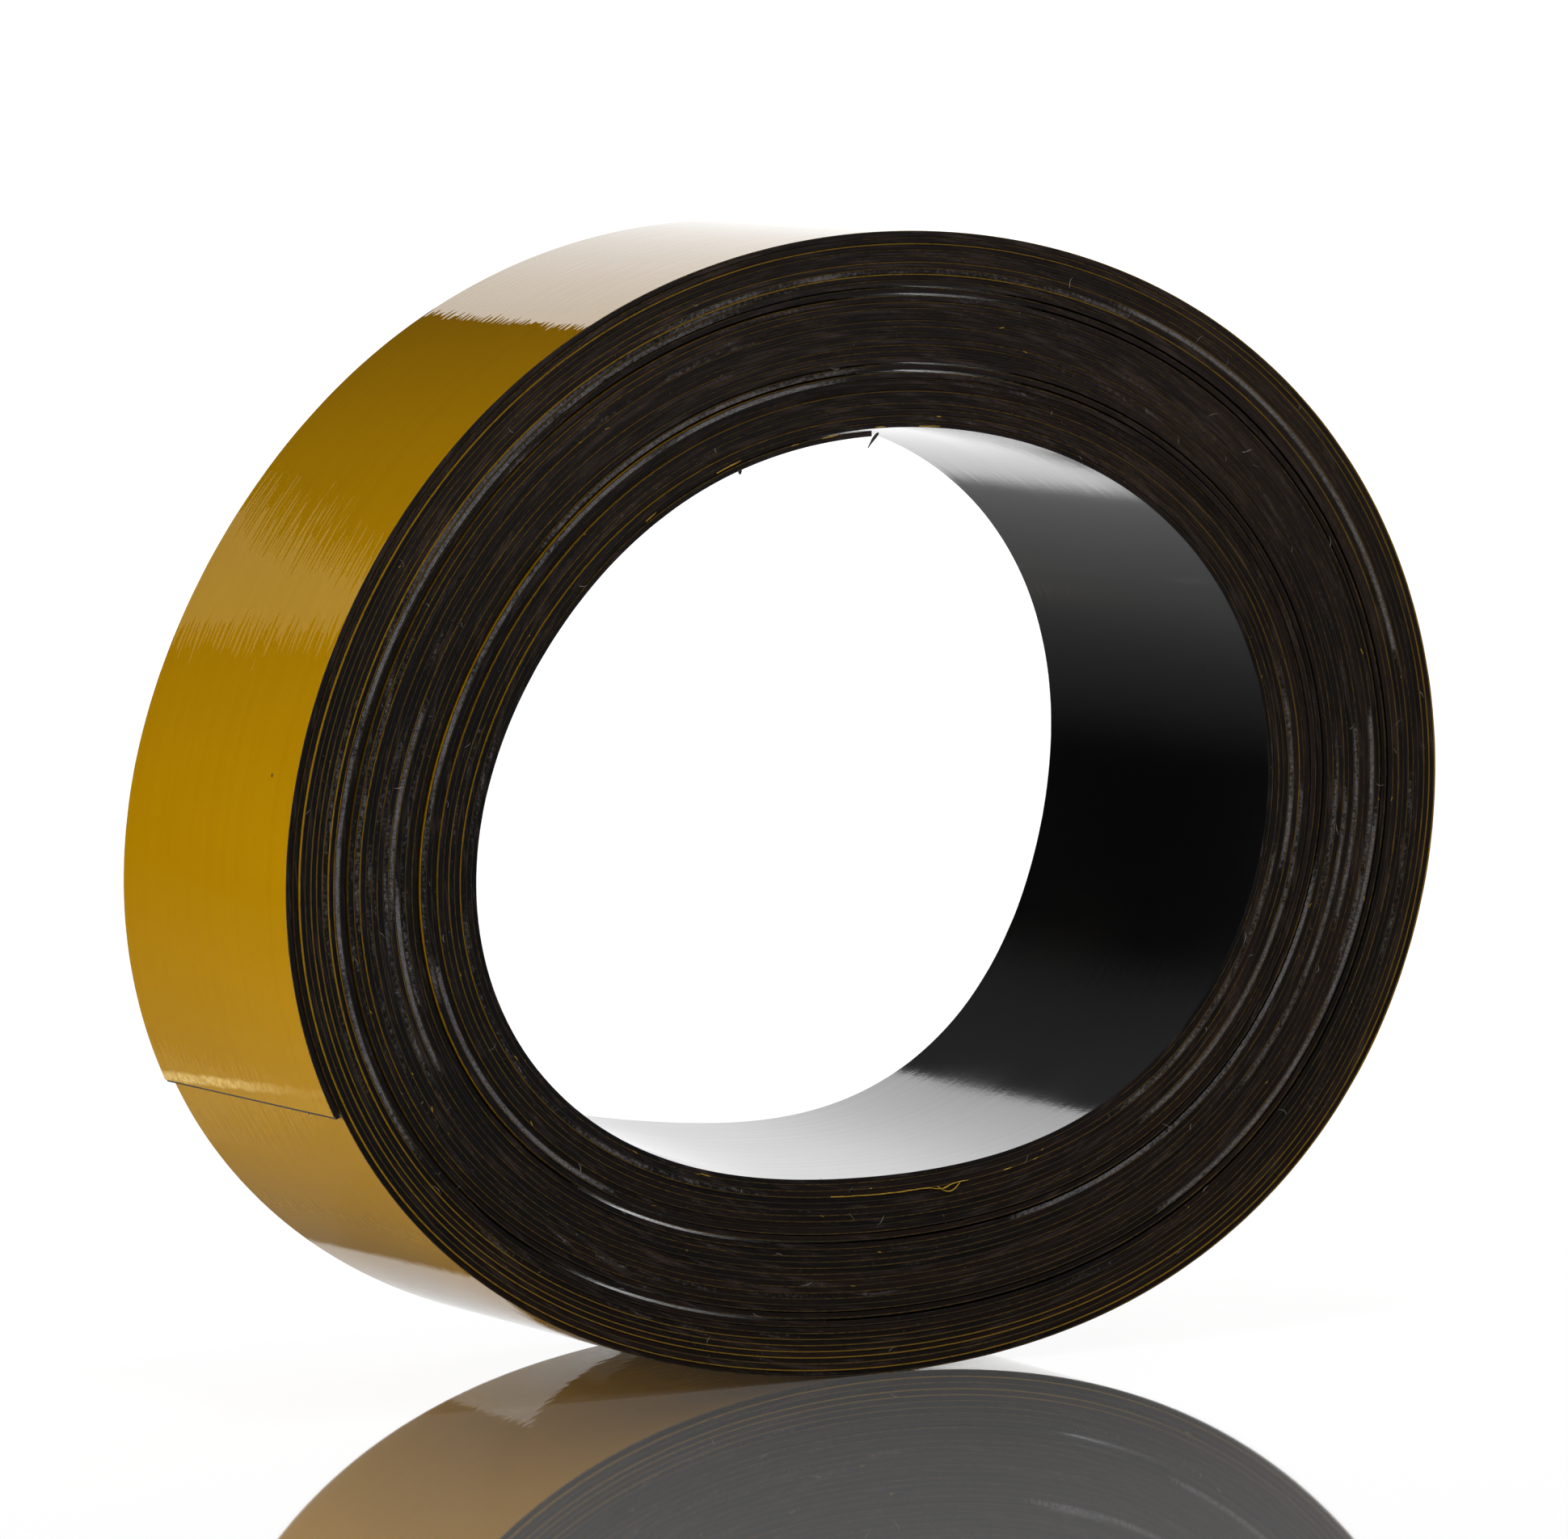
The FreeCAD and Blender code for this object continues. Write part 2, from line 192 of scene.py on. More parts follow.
def film_proud_highlight(phi):
    """Where the film's near edge stands out, it is painted brighter: a painted highlight on the exposed edge."""
    t = phi / TAU
    d = 0 * t
    for at, wide, tall in PROUD:
        d = np.maximum(d, min(1.0, tall / 0.09) * (1.0 if at < 20 else 0.4) * np.exp(-((t - at) / wide) ** 4))
    return d


def place(phi, share, y):
    x, z = plain_winding(phi, share, y)
    return np.stack([x + ACROSS, y + 0 * x, z + UP], -1) * MM


def band_mesh(name, first, last, low, high, step, film, cols=2, cap=(True, True)):
    """A length of one layer of the strip: its outer face, cut sides and inner face, with normals taken
    from the winding itself so that two lengths meet without a seam."""
    count = max(2, int(math.ceil(math.degrees(last - first) / step)))
    phi = np.linspace(first, last, count + 1)
    d = -slip(phi)
    near = -HALF + d + nibble(phi, 50 if film else 40)
    far = HALF + d + nibble(phi, 60 if film else 70)
    if film:
        near = near - film_proud(phi)
        far = far + 0.01 * noise(run(phi), 7.0, 33)
    c = 0.012 if film else 0.045                       # softened corners
    cs = c / PITCH * 0.8
    ends = np.linspace(0, 1, cols)
    prof = []                                          # (share, where across, offset)
    for k in ends:
        prof.append((high, k, c if k == 0 else (-c if k == 1 else 0)))
    prof.append((high - cs, 1, 0))
    prof.append((low + cs, 1, 0))
    for k in ends[::-1]:
        prof.append((low, k, c if k == 0 else (-c if k == 1 else 0)))
    prof.append((low + cs, 0, 0))
    prof.append((high - cs, 0, 0))
    n = len(prof)
    pts = np.zeros((count + 1, n, 3))
    uv = np.zeros((count + 1, n, 2))
    for j, (share, k, off) in enumerate(prof):
        y = near * (1 - k) + far * k + off
        pts[:, j] = place(phi, share, y)
        uv[:, j, 0] = run(phi) * MM
        uv[:, j, 1] = y * MM
    # outward normal of the winding at each ring, near and far
    e = 2e-4

    def out(yy):
        a = np.stack(plain_winding(phi + e, high, yy), -1) - np.stack(plain_winding(phi - e, high, yy), -1)
        t = np.stack([a[:, 0], 0 * phi, a[:, 1]], -1)
        b0, b1 = plain_winding(phi, high, yy + 0.5), plain_winding(phi, high, yy - 0.5)
        w = np.stack([b0[0] - b1[0], np.full_like(phi, 1.0), b0[1] - b1[1]], -1)
        q = np.cross(t, w)
        q /= np.linalg.norm(q, axis=1)[:, None]
        x, z = plain_winding(phi, high, yy)
        s = np.sign(q[:, 0] * x + q[:, 2] * z)
        return q * s[:, None]
    radial = out(-HALF) * 0.5 + out(HALF) * 0.5
    radial /= np.linalg.norm(radial, axis=1)[:, None]
    Y = np.array([0, 1.0, 0])
    kinds = []                                         # one for each profile segment j -> j+1
    for j in range(n):
        a, b = prof[j], prof[(j + 1) % n]
        if a[0] == high and b[0] == high:
            kinds.append((radial, radial, 0))
        elif a[0] == low and b[0] == low:
            kinds.append((-radial, -radial, 1))
        elif a[1] == 1 and b[1] == 1 and a[2] == 0 and b[2] == 0:
            kinds.append((Y + 0 * radial, Y + 0 * radial, 2))
        elif a[1] == 0 and b[1] == 0 and a[2] == 0 and b[2] == 0:
            kinds.append((-Y + 0 * radial, -Y + 0 * radial, 2))
        else:                                          # a softened corner
            def at(p):
                flat = p[2] != 0
                side = Y if p[1] == 1 else -Y
                face = radial if p[0] > (low + high) / 2 else -radial
                return face if flat else side + 0 * radial
            kinds.append((at(a), at(b), 2))
    idx = (np.arange(count + 1)[:, None] * n + np.arange(n)[None, :])
    quads, normals, mats = [], [], []
    for j in range(n):
        j2 = (j + 1) % n
        na, nb, kind = kinds[j]
        quads.append(np.stack([idx[:-1, j], idx[:-1, j2], idx[1:, j2], idx[1:, j]], -1))
        normals.append(np.stack([na[:-1], nb[:-1], nb[1:], na[1:]], 1))
        mats.append(np.full(count, kind))
    quads = np.concatenate(quads)
    normals = np.concatenate(normals).reshape(-1, 3)
    mats = np.concatenate(mats)
    verts = pts.reshape(-1, 3)
    # which way round?
    v = verts[quads[0]]
    if np.dot(np.cross(v[1] - v[0], v[2] - v[0]), normals[0]) < 0:
        quads = quads[:, ::-1].copy()
        normals = normals.reshape(-1, 4, 3)[:, ::-1].reshape(-1, 3).copy()
        flip = True
    else:
        flip = False
    loops = [quads.reshape(-1)]
    starts = [np.arange(len(quads)) * 4]
    totals = [np.full(len(quads), 4)]
    at = len(quads) * 4
    nrm = [normals]
    mat = [mats]
    tang = place(phi + e, 0.5, 0.0) - place(phi - e, 0.5, 0.0)
    tang /= np.linalg.norm(tang, axis=1)[:, None]
    for here, row, turn in ((cap[0], idx[0], -1), (cap[1], idx[-1], 1)):
        if not here:
            continue
        ring = row[::-1] if (turn == -1) != flip else row
        ring = ring.copy()
        p = verts[ring]
        area = np.zeros(3)
        for k in range(1, n - 1):
            area += np.cross(p[k] - p[0], p[k + 1] - p[0])
        want = tang[0] * -1 if turn == -1 else tang[-1]
        if np.dot(area, want) < 0:
            ring = ring[::-1].copy()
        loops.append(ring)
        starts.append(np.array([at]))
        totals.append(np.array([n]))
        nrm.append(np.repeat(want[None], n, 0))
        mat.append(np.array([2]))
        at += n
    loops = np.concatenate(loops)
    me = bpy.data.meshes.new(name)
    me.vertices.add(len(verts))
    me.vertices.foreach_set("co", verts.astype(np.float32).reshape(-1))
    me.loops.add(len(loops))
    me.loops.foreach_set("vertex_index", loops.astype(np.int32))
    st = np.concatenate(starts)
    me.polygons.add(len(st))
    me.polygons.foreach_set("loop_start", st.astype(np.int32))
    me.polygons.foreach_set("loop_total", np.concatenate(totals).astype(np.int32))
    me.polygons.foreach_set("material_index", np.concatenate(mat).astype(np.int32))
    me.polygons.foreach_set("use_smooth", np.ones(len(st), bool))
    layer = me.uv_layers.new(name="strip")
    layer.data.foreach_set("uv", uv.reshape(-1, 2)[loops].astype(np.float32).reshape(-1))
    # pale mark: on the carrier, rubbed patches with a painted highlight; on the film, a painted highlight where its
    # edge stands out
    attribute = me.attributes.new("pale_mark", "FLOAT", "POINT")
    attribute.data.foreach_set("value", np.repeat(film_proud_highlight(phi) if film else rub_and_glint(phi), n).astype(np.float32))
    me.update(calc_edges=True)
    me.validate(clean_customdata=False)
    me.normals_split_custom_set(np.concatenate(nrm).astype(np.float32))
    ob = bpy.data.objects.new(name, me)
    scene.collection.objects.link(ob)
    return ob


# ---------------------------------------------------------------------------------------------------- materials
def new_material(name):
    m = bpy.data.materials.new(name)
    m.use_nodes = True
    t = m.node_tree
    t.nodes.clear()
    out = t.nodes.new("ShaderNodeOutputMaterial")
    sh = t.nodes.new("ShaderNodeBsdfPrincipled")
    t.links.new(sh.outputs[0], out.inputs[0])
    return m, t, sh


def node(t, kind, **values):
    n = t.nodes.new(kind)
    for k, v in values.items():
        if k in n.inputs:
            n.inputs[k].default_value = v
        else:
            setattr(n, k, v)
    return n


def strip_coords(t, su, sv):
    """The strip's own coordinates, along and across it, in metres, scaled."""
    uv = node(t, "ShaderNodeUVMap", uv_map="strip")
    mp = node(t, "ShaderNodeMapping")
    mp.inputs["Scale"].default_value = (su, sv, 1.0)
    t.links.new(uv.outputs[0], mp.inputs["Vector"])
    return mp.outputs[0]


def noise_node(t, vector, scale=1.0, detail=2.0, rough=0.5):
    n = node(t, "ShaderNodeTexNoise", Scale=scale, Detail=detail, Roughness=rough)
    t.links.new(vector, n.inputs["Vector"])
    return n.outputs["Fac"]


def between(t, value, low, high, out_low=0.0, out_high=1.0):
    n = node(t, "ShaderNodeMapRange")
    n.interpolation_type = "SMOOTHSTEP"
    for k, v in (("From Min", low), ("From Max", high), ("To Min", out_low), ("To Max", out_high)):
        n.inputs[k].default_value = v
    t.links.new(value, n.inputs["Value"])
    return n.outputs[0]


def maths(t, op, a, b=None):
    n = node(t, "ShaderNodeMath", operation=op)
    for k, v in ((0, a), (1, b)):
        if v is None:
            continue
        if isinstance(v, (int, float)):
            n.inputs[k].default_value = v
        else:
            t.links.new(v, n.inputs[k])
    return n.outputs[0]


def mixed(t, fac, a, b):
    n = node(t, "ShaderNodeMix", data_type="RGBA")
    for k, v in (("Factor", fac), ("A", a), ("B", b)):
        sock = [s for s in n.inputs if s.name == k and (s.type == "VALUE" if k == "Factor" else s.type == "RGBA")][0]
        if isinstance(v, (int, float)):
            sock.default_value = v
        elif isinstance(v, tuple):
            sock.default_value = v
        else:
            t.links.new(v, sock)
    return [s for s in n.outputs if s.type == "RGBA"][0]


def bump(t, height, distance, normal=None):
    n = node(t, "ShaderNodeBump", Strength=1.0, Distance=distance)
    t.links.new(height, n.inputs["Height"])
    if normal is not None:
        t.links.new(normal, n.inputs["Normal"])
    return n.outputs[0]


def film_face_material():
    m, t, sh = new_material("film_gloss")
    sh.inputs["IOR"].default_value = 1.40
    sh.inputs["Specular Tint"].default_value = (1.0, 0.8, 0.15, 1)
    ripple = noise_node(t, strip_coords(t, 28.0, 420.0), 1.0, 2.0, 0.5)       # lines drawn along the strip
    drawn = noise_node(t, strip_coords(t, 230.0, 1500.0), 1.0, 0.0, 0.4)
    broad = noise_node(t, strip_coords(t, 22.0, 60.0), 1.0, 2.0, 0.5)
    patch = noise_node(t, strip_coords(t, 30.0, 9.0), 1.0, 3.0, 0.5)
    streak = noise_node(t, strip_coords(t, 6.0, 420.0), 1.0, 3.0, 0.6)
    base = mixed(t, between(t, patch, 0.30, 0.70), (0.350, 0.175, 0.0, 1), (0.385, 0.196, 0.0, 1))
    base = mixed(t, between(t, streak, 0.35, 0.75, 0.0, 0.30), base, (0.325, 0.158, 0.0, 1))
    # dark specks
    vor = node(t, "ShaderNodeTexVoronoi", Scale=1.0)
    t.links.new(strip_coords(t, 150.0, 150.0), vor.inputs["Vector"])
    pick = node(t, "ShaderNodeSeparateColor")
    t.links.new(vor.outputs["Color"], pick.inputs[0])
    size = between(t, pick.outputs[1], 0.0, 1.0, 0.008, 0.028)
    near = maths(t, "LESS_THAN", vor.outputs["Distance"], size)
    speck = maths(t, "MULTIPLY", near, maths(t, "LESS_THAN", pick.outputs[0], 0.42))
    base = mixed(t, speck, base, (0.07, 0.035, 0.01, 1))
    # painted highlight: the pale line just above the outer end's edge, standing for light caught by the film's slightly
    # bent end
    uv = node(t, "ShaderNodeUVMap", uv_map="strip")
    split = node(t, "ShaderNodeSeparateXYZ")
    t.links.new(uv.outputs[0], split.inputs[0])
    line = noise_node(t, strip_coords(t, 300.0, 260.0), 1.0, 3.0, 0.6)
    fine = noise_node(t, strip_coords(t, 1500.0, 1500.0), 1.0, 3.0, 0.6)
    along = maths(t, "ADD", split.outputs[0], maths(t, "MULTIPLY", maths(t, "SUBTRACT", line, 0.5), 0.0009))
    # it leaves the edge towards the near side
    along = maths(t, "ADD", along, maths(t, "MULTIPLY", split.outputs[1], 0.042))
    band = maths(t, "MULTIPLY", between(t, along, 0.00085, 0.00125), between(t, along, 0.0016, 0.0021, 1.0, 0.0))
    band = maths(t, "MULTIPLY", band, between(t, split.outputs[1], -0.016, 0.010, 0.10, 1.0))
    band = maths(t, "MULTIPLY", band, between(t, fine, 0.30, 0.62, 0.25, 1.0))
    base = mixed(t, maths(t, "MULTIPLY", band, 0.6), base, (0.90, 0.66, 0.24, 1))
    t.links.new(base, sh.inputs["Base Color"])
    rough = maths(t, "ADD", between(t, streak, 0.3, 0.8, 0.004, 0.014), maths(t, "MULTIPLY", band, 0.25))
    t.links.new(rough, sh.inputs["Roughness"])
    n1 = bump(t, broad, 2.2e-5)
    n2 = bump(t, ripple, 0.7e-5, n1)
    n3 = bump(t, drawn, 1.0e-5, n2)
    n4 = bump(t, speck, 8.0e-6, n3)
    t.links.new(bump(t, maths(t, "MULTIPLY", band, fine), 2.0e-5, n4), sh.inputs["Normal"])
    return m


def film_cut_material():
    m, t, sh = new_material("film_cut")
    v = strip_coords(t, 1800.0, 1800.0)
    a = noise_node(t, v, 1.0, 3.0, 0.6)
    b = noise_node(t, strip_coords(t, 45.0, 45.0), 1.0, 3.0, 0.6)
    base = mixed(t, between(t, a, 0.35, 0.7), (0.020, 0.012, 0.002, 1), (0.120, 0.066, 0.003, 1))
    base = mixed(t, between(t, b, 0.40, 0.62, 0.0, 0.80), base, (0.011, 0.008, 0.005, 1))
    # painted highlight where the film's edge stands out
    edge_highlight = node(t, "ShaderNodeAttribute", attribute_name="pale_mark")
    edge_highlight = maths(t, "MULTIPLY", edge_highlight.outputs["Fac"], between(t, a, 0.30, 0.52, 0.45, 1.0))
    base = mixed(t, edge_highlight, base, (0.250, 0.140, 0.004, 1))
    t.links.new(base, sh.inputs["Base Color"])
    t.links.new(between(t, a, 0.3, 0.7, 0.34, 0.55), sh.inputs["Roughness"])
    t.links.new(bump(t, a, 1.2e-5), sh.inputs["Normal"])
    return m


def carrier_face_material():
    m, t, sh = new_material("carrier_gloss")
    sh.inputs["IOR"].default_value = 2.1
    grain = noise_node(t, strip_coords(t, 2600.0, 2600.0), 1.0, 2.0, 0.5)
    drawn = noise_node(t, strip_coords(t, 30.0, 700.0), 1.0, 2.0, 0.5)
    cloud = noise_node(t, strip_coords(t, 60.0, 45.0), 1.0, 3.0, 0.5)
    broad = noise_node(t, strip_coords(t, 25.0, 40.0), 1.0, 2.0, 0.5)
    base = mixed(t, between(t, cloud, 0.3, 0.7), (0.0022, 0.0022, 0.0027, 1), (0.0042, 0.0041, 0.0046, 1))
    # painted reflection: a faint pale line across the last turn, at the right of the bore
    uv = node(t, "ShaderNodeUVMap", uv_map="strip")
    split = node(t, "ShaderNodeSeparateXYZ")
    t.links.new(uv.outputs[0], split.inputs[0])
    off = maths(t, "SUBTRACT", split.outputs[0], float(run(np.array([TAU * 30.488]))[0]) * MM)
    off = maths(t, "ADD", off, maths(t, "MULTIPLY", maths(t, "SUBTRACT", noise_node(t, strip_coords(t, 90.0, 90.0), 1.0, 2.0, 0.5), 0.5), 0.0012))
    line = between(t, maths(t, "ABSOLUTE", off), 0.00012, 0.00050, 1.0, 0.0)
    line = maths(t, "MULTIPLY", line, between(t, noise_node(t, strip_coords(t, 600.0, 120.0), 1.0, 3.0, 0.6), 0.35, 0.6, 0.25, 1.0))
    base = mixed(t, maths(t, "MULTIPLY", line, 0.6), base, (0.050, 0.049, 0.052, 1))
    t.links.new(base, sh.inputs["Base Color"])
    t.links.new(between(t, cloud, 0.3, 0.75, 0.085, 0.14), sh.inputs["Roughness"])
    n1 = bump(t, drawn, 1.2e-5)
    n2 = bump(t, broad, 3.0e-5, n1)
    t.links.new(bump(t, grain, 5.0e-6, n2), sh.inputs["Normal"])
    return m


def carrier_cut_material():
    m, t, sh = new_material("carrier_cut")
    sh.inputs["Specular IOR Level"].default_value = 0.22
    here = node(t, "ShaderNodeTexCoord").outputs["Object"]
    fine = noise_node(t, here, 7500.0, 3.0, 0.65)
    streak = noise_node(t, strip_coords(t, 3300.0, 300.0), 1.0, 3.0, 0.6)     # across the strip's thickness
    grain = noise_node(t, here, 1900.0, 3.0, 0.65)
    cloud = noise_node(t, strip_coords(t, 38.0, 38.0), 1.0, 3.0, 0.5)
    # rubbing and painted highlight on the cut edge, carried by the mesh
    wear_and_glint = node(t, "ShaderNodeAttribute", attribute_name="pale_mark")
    # round the roll: bands a few turns wide, and finer lines
    split = node(t, "ShaderNodeSeparateXYZ")
    t.links.new(here, split.inputs[0])
    across = maths(t, "SUBTRACT", split.outputs[0], ACROSS * MM)
    height = maths(t, "SUBTRACT", split.outputs[2], UP * MM)
    radius = maths(t, "SQRT", maths(t, "ADD", maths(t, "MULTIPLY", across, across), maths(t, "MULTIPLY", height, height)))

    def rings(turns, cell):
        c = node(t, "ShaderNodeCombineXYZ")
        t.links.new(maths(t, "MULTIPLY", maths(t, "DIVIDE", across, radius), turns), c.inputs[0])
        t.links.new(maths(t, "MULTIPLY", maths(t, "DIVIDE", height, radius), turns), c.inputs[1])
        t.links.new(maths(t, "MULTIPLY", radius, 1.0 / cell), c.inputs[2])
        return noise_node(t, c.outputs[0], 1.0, 2.0, 0.55)
    wide, thin = rings(1.6, 0.0013), rings(9.0, 0.0004)
    # painted light across the cut face: lighter and browner towards the right, warmer towards the bottom, and more pale
    # lines near the top
    right = between(t, across, -0.012, 0.030)
    low = between(t, height, -0.040, -0.018, 1.0, 0.0)
    high = between(t, height, 0.006, 0.038)
    dark = mixed(t, right, (0.0024, 0.0017, 0.0020, 1), (0.0040, 0.0021, 0.0017, 1))
    dark = mixed(t, low, dark, (0.0030, 0.0012, 0.0004, 1))
    light = mixed(t, right, (0.0068, 0.0048, 0.0052, 1), (0.0200, 0.0105, 0.0084, 1))
    light = mixed(t, low, light, (0.0150, 0.0060, 0.0022, 1))
    base = mixed(t, between(t, maths(t, "ADD", maths(t, "MULTIPLY", wide, 0.75), maths(t, "MULTIPLY", cloud, 0.25)), 0.36, 0.64), dark, light)
    base = mixed(t, between(t, thin, 0.50, 0.78, 0.0, 0.55), base, (0.074, 0.050, 0.045, 1))
    base = mixed(t, between(t, streak, 0.58, 0.84, 0.0, 0.25), base, (0.082, 0.057, 0.050, 1))
    base = mixed(t, maths(t, "MULTIPLY", high, between(t, thin, 0.40, 0.68, 0.13, 0.40)), base, (0.080, 0.056, 0.048, 1))
    base = mixed(t, between(t, grain, 0.30, 0.46, 0.60, 0.0), base, (0.0048, 0.0034, 0.0030, 1))
    # pale grey where it is rubbed, partly a painted highlight of glancing light on the rough cut edge: the grain and
    # the streaks break it up
    mottle = noise_node(t, here, 3100.0, 3.0, 0.65)
    level = maths(t, "ADD", maths(t, "MULTIPLY", wear_and_glint.outputs["Fac"], 0.44), maths(t, "MULTIPLY", mottle, 0.55))
    level = maths(t, "ADD", level, maths(t, "MULTIPLY", thin, 0.35))
    rub_glint_mask = between(t, level, 0.58, 0.86)
    base = mixed(t, maths(t, "MULTIPLY", rub_glint_mask, between(t, fine, 0.30, 0.65, 0.25, 1.0)), base, (0.25, 0.235, 0.24, 1))
    t.links.new(base, sh.inputs["Base Color"])
    t.links.new(between(t, grain, 0.3, 0.7, 0.50, 0.72), sh.inputs["Roughness"])
    n1 = bump(t, grain, 5.0e-5)
    n2 = bump(t, streak, 2.5e-5, n1)
    t.links.new(bump(t, fine, 0.8e-5, n2), sh.inputs["Normal"])
    return m


film_face, film_cut = film_face_material(), film_cut_material()
carrier_face, carrier_cut = carrier_face_material(), carrier_cut_material()


def add(name, first, last, layer, step, cap=(True, True), cols=2):
    film = layer == "film"
    low, high = (0.752, TOP) if film else (0.0, 0.745)
    ob = band_mesh(name, first, last, low, high, step, film, cols, cap)
    for mt in ((film_face, film_face, film_cut) if film else (carrier_face, carrier_face, carrier_cut)):
        ob.data.materials.append(mt)
    return ob


def mid(phi):
    return tuple(float(v) for v in place(np.array([phi]), 0.5, np.array([0.0]))[0])


lead_step, tail_step = LEAD / LEAD_N, TAIL / TAIL_N
spread = math.radians(60)
for layer in ("carrier", "film"):
    # the three bands of turns, and the two lengths that cross from one band to the next
    p = add("outer_winding_" + layer, LEAD + lead_step / 2, CUTS[0] - spread, layer, 1.0)
    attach(p, "outer_turns"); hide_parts("outer_turns_" + layer)
    p = add("middle_winding_" + layer, CUTS[0] + spread, CUTS[1] - spread, layer, 1.5)
    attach(p, "middle_turns"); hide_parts("middle_turns_" + layer)
    p = add("inner_winding_" + layer, CUTS[1] + spread, END - TAIL - tail_step / 2, layer, 1.5)
    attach(p, "inner_turns"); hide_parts("inner_turns_" + layer)
    p = add("outer_to_middle_" + layer, CUTS[0] - spread, CUTS[0] + spread, layer, 1.0)
    mid(CUTS[0] - spread)
    mid(CUTS[0] + spread)
    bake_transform(p)
    p = add("middle_to_inner_" + layer, CUTS[1] - spread, CUTS[1] + spread, layer, 1.0)
    mid(CUTS[1] - spread)
    mid(CUTS[1] + spread)
    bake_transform(p)
    # the outer end: each length runs from the middle of one section to the middle of the next
    bodies = ["outer_turns"] + ["lead_%d" % (k + 1) for k in range(LEAD_N)]
    for k in range(LEAD_N):
        a, b = LEAD - lead_step * (k + 0.5), LEAD - lead_step * (k - 0.5)
        p = add("outer_end_%d_%s" % (k + 1, layer), a, b, layer, 0.5)
        mid(LEAD - lead_step * (k - 0.30))
        mid(a)
        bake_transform(p)
        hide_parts(bodies[k + 1] + "_" + layer)
    # the film stops a little short of the carrier's cut
    p = add("outer_end_tip_" + layer, 0.0046 if layer == "film" else 0.0, lead_step / 2, layer, 0.5)
    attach(p, bodies[-1])
    # the inner end
    bodies = ["inner_turns"] + ["tail_%d" % (k + 1) for k in range(TAIL_N)]
    for k in range(TAIL_N):
        a, b = END - TAIL + tail_step * (k - 0.5), END - TAIL + tail_step * (k + 0.5)
        p = add("inner_end_%d_%s" % (k + 1, layer), a, b, layer, 0.75)
        mid(a)
        mid(b)
        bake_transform(p)
        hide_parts(bodies[k + 1] + "_" + layer)
    p = add("inner_end_tip_" + layer, END - tail_step / 2, END, layer, 0.75)
    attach(p, bodies[-1])


# --------------------------------------------------------------------------- frays, flecks and lint on the roll
def simple(name, one, two, scale, rough, distance):
    m, t, sh = new_material(name)
    tc = node(t, "ShaderNodeTexCoord")
    n = noise_node(t, tc.outputs["Object"], scale, 3.0, 0.6)
    t.links.new(mixed(t, between(t, n, 0.35, 0.65), one, two), sh.inputs["Base Color"])
    t.links.new(between(t, n, 0.3, 0.7, rough - 0.08, rough + 0.08), sh.inputs["Roughness"])
    t.links.new(bump(t, n, distance), sh.inputs["Normal"])
    return m


lint = simple("lint", (0.30, 0.28, 0.27, 1), (0.52, 0.50, 0.48, 1), 2500.0, 0.6, 5e-6)
fleck = simple("film_fleck", (0.42, 0.24, 0.004, 1), (0.62, 0.38, 0.03, 1), 2500.0, 0.4, 8e-6)
crumb = simple("carrier_crumb", (0.012, 0.010, 0.009, 1), (0.045, 0.038, 0.034, 1), 3000.0, 0.6, 1e-5)
scrap = simple("adhesive_scrap", (0.34, 0.20, 0.13, 1), (0.52, 0.33, 0.22, 1), 2500.0, 0.5, 1e-5)


def strand(rings, sides=6):
    """Verts and faces of a closed tapering strand: rings is a list of (centre, one half axis, other half axis)."""
    verts, faces = [], []
    for c, p, q in rings:
        for k in range(sides):
            a = TAU * k / sides
            verts.append(tuple(c + p * math.cos(a) + q * math.sin(a)))
    n = len(rings)
    for i in range(n - 1):
        for k in range(sides):
            k2 = (k + 1) % sides
            faces.append((i * sides + k, i * sides + k2, (i + 1) * sides + k2, (i + 1) * sides + k))
    faces.append(tuple(range(sides))[::-1])
    faces.append(tuple((n - 1) * sides + k for k in range(sides)))
    return verts, faces


def spot(phi, share, y):
    """A point of the winding with its three directions: along the strip, outwards and towards the viewer's side."""
    p = place(np.array([phi]), share, np.array([y]))[0]
    q = place(np.array([phi + 0.002]), share, np.array([y]))[0]
    t = (q - p) / np.linalg.norm(q - p)
    Yn = np.array([0, -1.0, 0])
    o = np.cross(t, Yn)
    o /= np.linalg.norm(o)
    if np.dot(o, p - np.array([ACROSS * MM, p[1], UP * MM])) < 0:
        o = -o
    return p, t, o, Yn


def side_y(phi, film=False):
    y = -HALF - float(slip(np.array([phi]))[0]) + float(nibble(np.array([phi]), 50 if film else 40)[0])
    return y - (float(film_proud(np.array([phi]))[0]) if film else 0)


def joined(name, parts, material, body):
    verts, faces = [], []
    for v, f in parts:
        k = len(verts)
        verts += v
        faces += [tuple(i + k for i in g) for g in f]
    me = bpy.data.meshes.new(name)
    me.from_pydata([tuple(float(c) for c in v) for v in verts], [], faces)
    me.update(calc_edges=True)
    me.validate()
    for p in me.polygons:
        p.use_smooth = True
    me.materials.append(material)
    ob = bpy.data.objects.new(name, me)
    scene.collection.objects.link(ob)
    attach(ob, body)
    return ob


def fibre(phi, share, heading, length, thick, curl, lift, rng):
    """A bent hair lying on the near side."""
    p, t, o, up = spot(phi, share, side_y(phi))
    rings = []
    n = 9
    a = heading
    c = p + up * (thick * 0.3 * MM)
    for i in range(n):
        f = i / (n - 1)
        d = t * math.cos(a) + o * math.sin(a)
        w = thick * (0.55 + 0.45 * math.sin(math.pi * min(1, f * 1.1 + 0.05))) * MM
        rings.append((c + up * (lift * math.sin(math.pi * f) * MM), np.cross(d, up) * w, up * w))
        c = c + d * (length / (n - 1)) * MM
        a += curl / (n - 1) + rng.uniform(-0.12, 0.12)
    return strand(rings)


